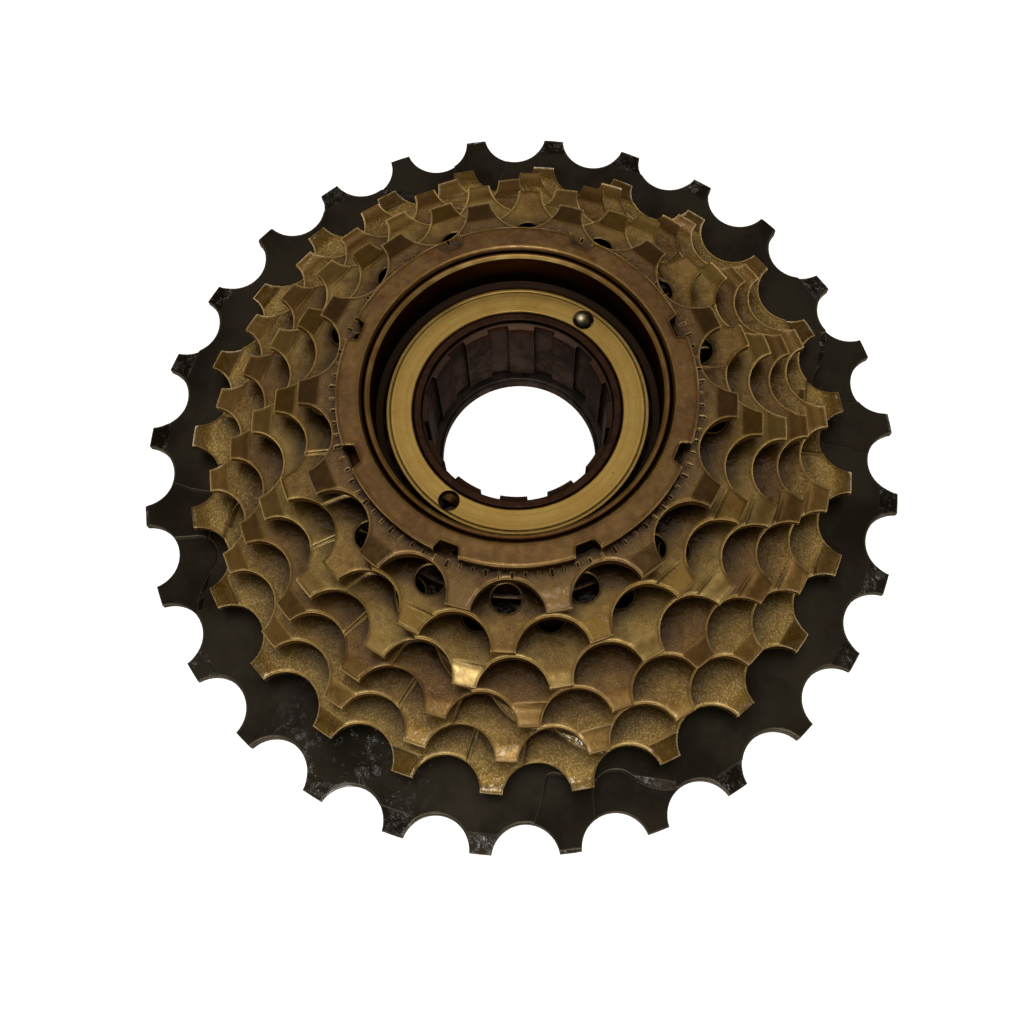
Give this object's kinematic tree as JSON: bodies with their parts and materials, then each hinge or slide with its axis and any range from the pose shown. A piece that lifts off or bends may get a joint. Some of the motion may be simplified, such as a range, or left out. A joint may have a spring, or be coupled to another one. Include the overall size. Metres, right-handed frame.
{
  "type": "multi-speed bicycle freewheel",
  "caption": "Screw-on stack of toothed sprockets on a ratcheting ball-bearing body; turns with the hub one way and coasts the other.",
  "frame": {"origin": "on the turning axis, on the rear face of the inner body, where it seats on the hub", "axes": "+Z along the turning axis from the hub shoulder to the smallest sprocket; +X and +Y across the sprockets"},
  "size_m": [0.1142, 0.1142, 0.0363],
  "materials": {
    "inner_steel": "machined steel, dark oxide at the rim",
    "cone_gold": "turned steel, yellow passivated",
    "bright_steel": "bright rolled steel",
    "pawl_steel": "hardened steel",
    "ball_steel": "polished bearing steel",
    "body_bronze": "brown coated steel, satin",
    "seal_black": "matt black",
    "lockring_bronze": "brown coated steel, satin",
    "spacer_dark": "dark coated steel",
    "bronze_14t": "brown coated steel, satin",
    "bronze_16t": "antique bronze coat, satin",
    "bronze_18t": "antique bronze coat, satin",
    "bronze_20t": "darker brown coat, satin",
    "bronze_22t": "antique bronze coat, satin",
    "bronze_24t": "antique bronze coat, coarse grain",
    "black_28t": "black coat with an oil film"
  },
  "bodies": {
    "hub_core": {"inner_body": "inner_steel", "bearing_cone": "cone_gold", "shim_1": "bright_steel", "shim_2": "bright_steel", "pawl_spring": "bright_steel"},
    "cluster": {"sprocket_14t": "bronze_14t", "spacer_16_14": "spacer_dark", "sprocket_16t": "bronze_16t", "spacer_18_16": "spacer_dark", "sprocket_18t": "bronze_18t", "spacer_20_18": "spacer_dark", "sprocket_20t": "bronze_20t", "spacer_22_20": "spacer_dark", "sprocket_22t": "bronze_22t", "spacer_24_22": "spacer_dark", "sprocket_24t": "bronze_24t", "spacer_28_24": "spacer_dark", "sprocket_28t": "black_28t", "outer_body": "body_bronze", "dust_seal": "seal_black", "lockring": "lockring_bronze"},
    "front_ball_row": {"balls_front": "ball_steel"},
    "rear_ball_row": {"balls_rear": "ball_steel"},
    "pawl_a": {"pawl_1": "pawl_steel"},
    "pawl_b": {"pawl_2": "pawl_steel"}
  },
  "joints": [
    {"name": "freewheel_spin", "type": "hinge", "parent": "hub_core", "child": "cluster", "pos_m": [0, 0, 0], "axis": [0, 0, 1], "continuous": true},
    {"name": "front_balls_orbit", "type": "hinge", "parent": "hub_core", "child": "front_ball_row", "pos_m": [0, 0, 0.0269], "axis": [0, 0, 1], "continuous": true},
    {"name": "rear_balls_orbit", "type": "hinge", "parent": "hub_core", "child": "rear_ball_row", "pos_m": [0, 0, 0.005], "axis": [0, 0, 1], "continuous": true},
    {"name": "pawl_1_tilt", "type": "hinge", "parent": "hub_core", "child": "pawl_a", "pos_m": [0.01229, 0.0086, 0.0156], "axis": [0, 0, -1], "range_deg": [0, 12], "stiffness_Nm_per_rad": 0.004, "springref_deg": 17.19},
    {"name": "pawl_2_tilt", "type": "hinge", "parent": "hub_core", "child": "pawl_b", "pos_m": [-0.01229, -0.0086, 0.0156], "axis": [0, 0, -1], "range_deg": [0, 12], "stiffness_Nm_per_rad": 0.004, "springref_deg": 17.19}
  ],
  "couplings": [
    {"joint": "front_balls_orbit", "follows": "freewheel_spin", "ratio": 0.5332},
    {"joint": "rear_balls_orbit", "follows": "freewheel_spin", "ratio": 0.5267}
  ]
}
